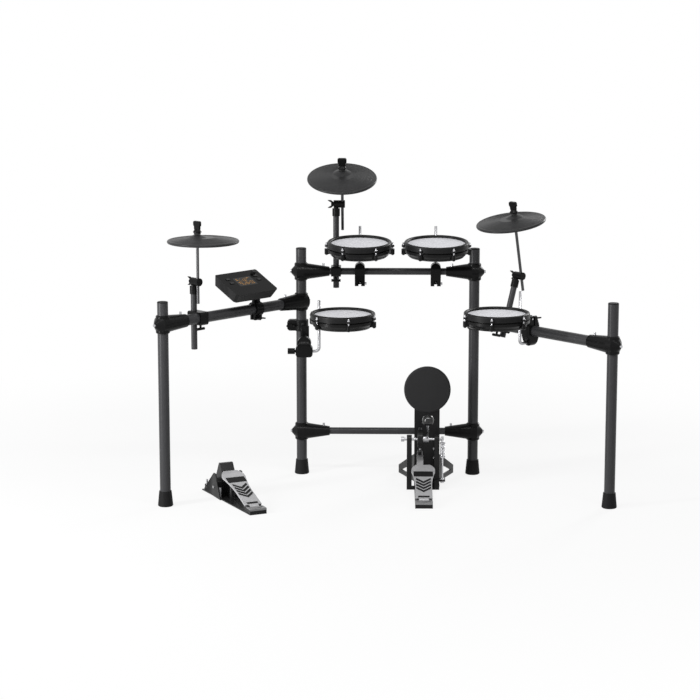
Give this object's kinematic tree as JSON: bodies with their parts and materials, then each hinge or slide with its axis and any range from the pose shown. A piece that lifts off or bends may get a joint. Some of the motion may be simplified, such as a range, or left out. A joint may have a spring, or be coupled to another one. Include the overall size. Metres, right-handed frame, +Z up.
{
  "type": "electronic drum kit",
  "caption": "Electronic drum kit: mesh drum pads, rubber cymbal pads and a sound module on a folding tube rack, with a kick tower, kick pedal and hi-hat pedal.",
  "frame": {"origin": "on the floor under the middle of the kit's footprint", "axes": "+Z up, +X to the player's right along the rear bars, +Y away from the player"},
  "size_m": [1.6274, 0.709, 1.1819],
  "materials": {
    "tube": "satin charcoal coating",
    "clamp": "moulded black",
    "bolt": "polished",
    "foot": "matt black",
    "shell": "moulded black",
    "hoop": "soft black",
    "mesh": "woven white mesh",
    "arm": "satin steel rod with a black clamp",
    "stand": "black tube with moulded fittings",
    "rod": "satin",
    "cymbal": "dark rubber with fine rings",
    "module": "dark gloss face",
    "module_clamp": "moulded black",
    "button": "grey",
    "tower": "black coating",
    "kick_rubber": "dark rubber",
    "pedal_frame": "black coating",
    "footboard": "cast, silver",
    "beater": "satin",
    "chain": "bright",
    "spring": "bright"
  },
  "bodies": {
    "rack": {"inner_posts": "tube", "rear_bars": "tube", "rear_clamps": "clamp", "rear_clamp_bolts": "bolt", "inner_post_ends": "foot", "crash_stand": "stand", "kick_tower": "tower", "kick_pad": "kick_rubber", "kick_pedal_frame": "pedal_frame", "kick_chain": "chain", "kick_spring": "spring", "hi_hat_pedal_base": "pedal_frame"},
    "left_wing": {"left_wing_bar": "tube", "left_outer_post": "tube", "left_wing_clamps": "clamp", "left_wing_bolts": "bolt", "left_outer_post_ends": "foot", "hi_hat_stand": "stand"},
    "right_wing": {"right_wing_bar": "tube", "right_outer_post": "tube", "right_wing_clamps": "clamp", "right_wing_bolts": "bolt", "right_outer_post_ends": "foot", "ride_stand": "stand"},
    "left_tom_arm": {"left_tom_arm": "arm"},
    "left_tom_pad": {"left_tom_shell": "shell", "left_tom_hoop": "hoop", "left_tom_head": "mesh", "left_tom_bolts": "bolt"},
    "right_tom_arm": {"right_tom_arm": "arm"},
    "right_tom_pad": {"right_tom_shell": "shell", "right_tom_hoop": "hoop", "right_tom_head": "mesh", "right_tom_bolts": "bolt"},
    "snare_arm": {"snare_arm": "arm"},
    "snare_pad": {"snare_shell": "shell", "snare_hoop": "hoop", "snare_head": "mesh", "snare_bolts": "bolt"},
    "floor_tom_arm": {"floor_tom_arm": "arm"},
    "floor_tom_pad": {"floor_tom_shell": "shell", "floor_tom_hoop": "hoop", "floor_tom_head": "mesh", "floor_tom_bolts": "bolt"},
    "hi_hat_rod": {"hi_hat_rod": "rod"},
    "hi_hat_cymbal": {"hi_hat_cymbal": "cymbal"},
    "crash_rod": {"crash_rod": "rod"},
    "crash_cymbal": {"crash_cymbal": "cymbal"},
    "ride_rod": {"ride_rod": "rod"},
    "ride_cymbal": {"ride_cymbal": "cymbal"},
    "module": {"module_case": "module", "module_clamp": "module_clamp"},
    "module_knob": {"module_knob": "button"},
    "module_button_1": {"module_button_1": "button"},
    "module_button_2": {"module_button_2": "button"},
    "module_button_3": {"module_button_3": "button"},
    "module_button_4": {"module_button_4": "button"},
    "kick_footboard": {"kick_footboard": "footboard"},
    "kick_beater": {"kick_beater": "beater"},
    "hi_hat_footboard": {"hi_hat_footboard": "footboard"}
  },
  "joints": [
    {"name": "left_wing_swing", "type": "hinge", "parent": "rack", "child": "left_wing", "pos_m": [-0.318, 0.26162, 0], "axis": [0, 0, 1], "range_deg": [-15, 10]},
    {"name": "right_wing_swing", "type": "hinge", "parent": "rack", "child": "right_wing", "pos_m": [0.318, 0.26162, 0], "axis": [0, 0, 1], "range_deg": [-7, 15]},
    {"name": "left_tom_tilt", "type": "hinge", "parent": "rack", "child": "left_tom_arm", "pos_m": [-0.1024, 0.26162, 0.762], "axis": [1, 0, 0], "range_deg": [-8, 12]},
    {"name": "left_tom_height", "type": "slide", "parent": "left_tom_arm", "child": "left_tom_pad", "axis": [0, -0.0698, 0.9976], "range_m": [-0.02, 0.02]},
    {"name": "right_tom_tilt", "type": "hinge", "parent": "rack", "child": "right_tom_arm", "pos_m": [0.176, 0.26162, 0.762], "axis": [1, 0, 0], "range_deg": [-8, 12]},
    {"name": "right_tom_height", "type": "slide", "parent": "right_tom_arm", "child": "right_tom_pad", "axis": [0, -0.0698, 0.9976], "range_m": [-0.02, 0.02]},
    {"name": "snare_swing", "type": "hinge", "parent": "rack", "child": "snare_arm", "pos_m": [-0.318, 0.26162, 0], "axis": [0, 0, 1], "range_deg": [-12, 12]},
    {"name": "snare_height", "type": "slide", "parent": "snare_arm", "child": "snare_pad", "axis": [0, 0, 1], "range_m": [-0.02, 0.02]},
    {"name": "floor_tom_tilt", "type": "hinge", "parent": "right_wing", "child": "floor_tom_arm", "pos_m": [0.51347, 0.056, 0.581], "axis": [0.689, -0.7248, 0], "range_deg": [-8, 8]},
    {"name": "floor_tom_height", "type": "slide", "parent": "floor_tom_arm", "child": "floor_tom_pad", "axis": [0, 0, 1], "range_m": [-0.02, 0.02]},
    {"name": "hi_hat_height", "type": "slide", "parent": "left_wing", "child": "hi_hat_rod", "axis": [0, 0, 1], "range_m": [-0.025, 0.04]},
    {"name": "hi_hat_rock", "type": "hinge", "parent": "hi_hat_rod", "child": "hi_hat_cymbal", "pos_m": [-0.66844, -0.09098, 0.934], "axis": [0, 1, 0], "range_deg": [-6, 6], "stiffness_Nm_per_rad": 8, "springref_deg": -0.66},
    {"name": "crash_tilt", "type": "hinge", "parent": "rack", "child": "crash_rod", "pos_m": [-0.19, 0.28932, 1.007], "axis": [1, 0, 0], "range_deg": [-12, 12]},
    {"name": "crash_rock", "type": "hinge", "parent": "crash_rod", "child": "crash_cymbal", "pos_m": [-0.167, 0.24895, 1.12424], "axis": [1, 0, 0], "range_deg": [-6, 6], "stiffness_Nm_per_rad": 8, "springref_deg": -0.66},
    {"name": "ride_tilt", "type": "hinge", "parent": "right_wing", "child": "ride_rod", "pos_m": [0.47122, 0.23343, 0.7528], "axis": [0.689, -0.7248, 0], "range_deg": [-12, 5]},
    {"name": "ride_rock", "type": "hinge", "parent": "ride_rod", "child": "ride_cymbal", "pos_m": [0.45774, 0.18888, 0.97108], "axis": [0.689, -0.7248, 0], "range_deg": [-6, 6], "stiffness_Nm_per_rad": 8, "springref_deg": -0.66},
    {"name": "module_tilt", "type": "hinge", "parent": "left_wing", "child": "module", "pos_m": [-0.51436, 0.05507, 0.65], "axis": [0.689, 0.7248, 0], "range_deg": [-8, 12]},
    {"name": "module_knob_turn", "type": "hinge", "parent": "module", "child": "module_knob", "pos_m": [-0.48681, 0.12546, 0.7756], "axis": [0.3245, -0.3085, 0.8942], "range_deg": [-150, 150]},
    {"name": "module_button_1_press", "type": "slide", "parent": "module", "child": "module_button_1", "axis": [-0.3245, 0.3085, -0.8942], "range_m": [0, 0.0012], "stiffness_N_per_m": 300},
    {"name": "module_button_2_press", "type": "slide", "parent": "module", "child": "module_button_2", "axis": [-0.3245, 0.3085, -0.8942], "range_m": [0, 0.0012], "stiffness_N_per_m": 300},
    {"name": "module_button_3_press", "type": "slide", "parent": "module", "child": "module_button_3", "axis": [-0.3245, 0.3085, -0.8942], "range_m": [0, 0.0012], "stiffness_N_per_m": 300},
    {"name": "module_button_4_press", "type": "slide", "parent": "module", "child": "module_button_4", "axis": [-0.3245, 0.3085, -0.8942], "range_m": [0, 0.0012], "stiffness_N_per_m": 300},
    {"name": "kick_board_press", "type": "hinge", "parent": "rack", "child": "kick_footboard", "pos_m": [0.13, -0.21038, 0.018], "axis": [1, 0, 0], "range_deg": [-7.27, 0], "stiffness_Nm_per_rad": 6, "springref_deg": 5.73},
    {"name": "kick_beater_swing", "type": "hinge", "parent": "rack", "child": "kick_beater", "pos_m": [0.13, 0.03662, 0.183], "axis": [1, 0, 0], "range_deg": [-55, 0], "deforming": ["kick_spring", "kick_chain"]},
    {"name": "hi_hat_board_press", "type": "hinge", "parent": "rack", "child": "hi_hat_footboard", "pos_m": [-0.46475, -0.30331, 0.018], "axis": [0.9063, 0.4226, 0], "range_deg": [-9, 0], "stiffness_Nm_per_rad": 8, "springref_deg": 6.88}
  ],
  "couplings": [
    {"joint": "kick_beater_swing", "follows": "kick_board_press", "ratio": 7.565}
  ]
}
